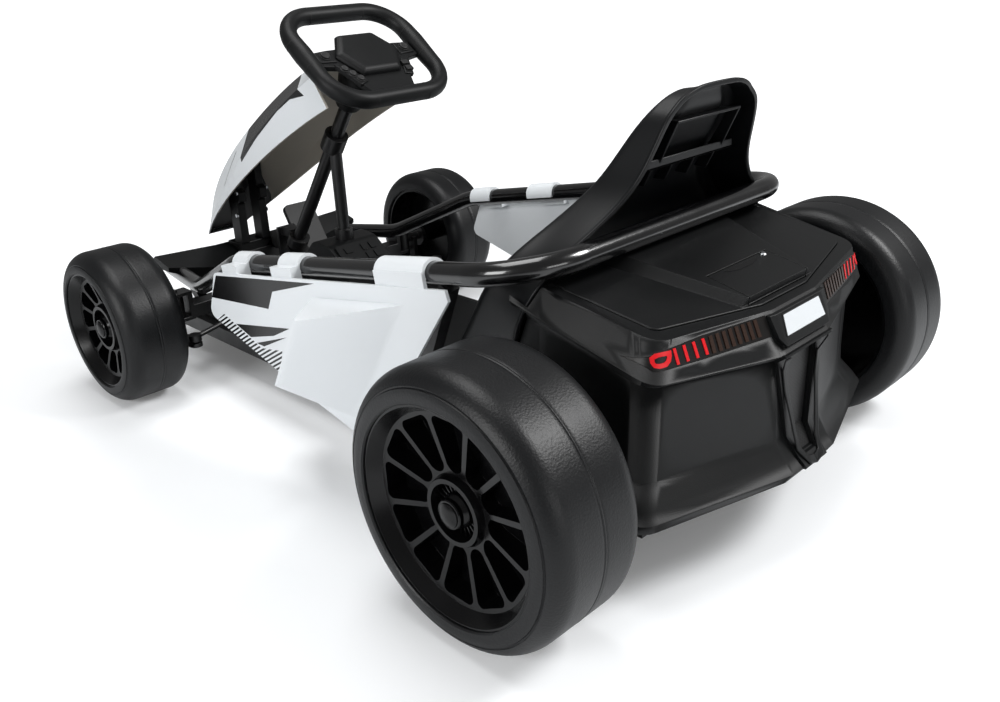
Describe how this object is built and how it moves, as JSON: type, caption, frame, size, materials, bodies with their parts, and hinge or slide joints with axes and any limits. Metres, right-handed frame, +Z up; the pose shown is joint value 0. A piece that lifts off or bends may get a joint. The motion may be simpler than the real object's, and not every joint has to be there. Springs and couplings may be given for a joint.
{
  "type": "electric drift kart",
  "caption": "Child's electric drift kart with bucket seat, tube frame, steered front wheels, side pods, nose shield and rear body.",
  "frame": {"origin": "on the ground at the middle of the part's box", "axes": "+X to the kart's left, front towards -Y, +Z up"},
  "size_m": [0.81, 1.2627, 0.5693],
  "materials": {
    "tyre": "smooth black moulded tyre with rounded shoulders",
    "rim_black": "black moulded wheel, satin",
    "frame_gloss": "gloss black powder-coated steel tube",
    "frame_steel": "black painted steel",
    "black_plastic": "black fine-grained moulded plastic",
    "seat_plastic": "black satin seat moulding",
    "white_plastic": "white glossy moulded plastic",
    "lamp_red": "dark smoked lens with red bars",
    "mesh_black": "black mesh insert",
    "grip_black": "black moulded grip",
    "zinc_steel": "zinc-plated steel"
  },
  "bodies": {
    "chassis": {"perimeter_tube": "frame_gloss", "lower_frame": "frame_steel", "floor_pan": "black_plastic", "front_axle_beam": "frame_steel", "foot_wing_left": "black_plastic", "side_pod_left": "white_plastic", "gearbox_left": "black_plastic", "tail_lamp_left": "lamp_red", "foot_wing_right": "black_plastic", "side_pod_right": "white_plastic", "gearbox_right": "black_plastic", "tail_lamp_right": "lamp_red", "column_brace": "frame_steel", "column_bearing": "frame_steel", "console": "black_plastic", "switch_panel": "black_plastic", "pedal_right": "black_plastic", "nose_panel": "white_plastic", "nose_post": "black_plastic", "seat_base": "seat_plastic", "seat_backrest": "seat_plastic", "rear_body": "black_plastic", "rear_deck": "black_plastic", "mesh_grille": "mesh_black", "plate_pod": "black_plastic", "grille_frame": "black_plastic", "rear_axle": "zinc_steel", "battery": "black_plastic"},
    "knuckle_body_left": {"knuckle_left": "frame_steel"},
    "tie_rod_body_left": {"tie_rod_left": "frame_steel"},
    "knuckle_body_right": {"knuckle_right": "frame_steel"},
    "tie_rod_body_right": {"tie_rod_right": "frame_steel"},
    "wheel_rear_left": {"tyre_rear_left": "tyre", "rim_rear_left": "rim_black"},
    "wheel_rear_right": {"tyre_rear_right": "tyre", "rim_rear_right": "rim_black"},
    "wheel_front_left": {"tyre_front_left": "tyre", "rim_front_left": "rim_black"},
    "wheel_front_right": {"tyre_front_right": "tyre", "rim_front_right": "rim_black"},
    "column": {"steering_column": "frame_steel", "steering_rim": "grip_black", "steering_pad": "grip_black"},
    "hatch": {"rear_hatch": "black_plastic"}
  },
  "joints": [
    {"name": "steering_column_turn", "type": "hinge", "parent": "chassis", "child": "column", "pos_m": [0, -0.108, 0.503], "axis": [0, 0.6018, 0.7986], "range_deg": [-25, 25]},
    {"name": "hatch_lift", "type": "hinge", "parent": "chassis", "child": "hatch", "pos_m": [0, 0.57628, 0.2883], "axis": [-1, 0, 0], "range_deg": [0, 85]},
    {"name": "knuckle_left_turn", "type": "hinge", "parent": "chassis", "child": "knuckle_body_left", "pos_m": [0.24, -0.361, 0.12], "axis": [0, 0, 1], "range_deg": [-20.5, 20.5]},
    {"name": "tie_rod_left_swing", "type": "hinge", "parent": "column", "child": "tie_rod_body_left", "pos_m": [0.015, -0.31397, 0.12167], "axis": [0, 0.6018, 0.7986], "range_deg": [-26, 26]},
    {"name": "knuckle_right_turn", "type": "hinge", "parent": "chassis", "child": "knuckle_body_right", "pos_m": [-0.24, -0.361, 0.12], "axis": [0, 0, 1], "range_deg": [-20.5, 20.5]},
    {"name": "tie_rod_right_swing", "type": "hinge", "parent": "column", "child": "tie_rod_body_right", "pos_m": [-0.015, -0.31397, 0.12167], "axis": [0, 0.6018, 0.7986], "range_deg": [-26, 26]},
    {"name": "wheel_rear_left_spin", "type": "hinge", "parent": "chassis", "child": "wheel_rear_left", "pos_m": [0.34, 0.467, 0.148], "axis": [1, 0, 0], "continuous": true},
    {"name": "wheel_rear_right_spin", "type": "hinge", "parent": "chassis", "child": "wheel_rear_right", "pos_m": [-0.34, 0.467, 0.148], "axis": [1, 0, 0], "continuous": true},
    {"name": "wheel_front_left_spin", "type": "hinge", "parent": "knuckle_body_left", "child": "wheel_front_left", "pos_m": [0.33, -0.361, 0.12], "axis": [1, 0, 0], "continuous": true},
    {"name": "wheel_front_right_spin", "type": "hinge", "parent": "knuckle_body_right", "child": "wheel_front_right", "pos_m": [-0.33, -0.361, 0.12], "axis": [1, 0, 0], "continuous": true}
  ],
  "couplings": [
    {"joint": "knuckle_left_turn", "follows": "steering_column_turn", "ratio": 0.8},
    {"joint": "tie_rod_left_swing", "follows": "steering_column_turn", "ratio": -1},
    {"joint": "knuckle_right_turn", "follows": "steering_column_turn", "ratio": 0.8},
    {"joint": "tie_rod_right_swing", "follows": "steering_column_turn", "ratio": -1}
  ]
}
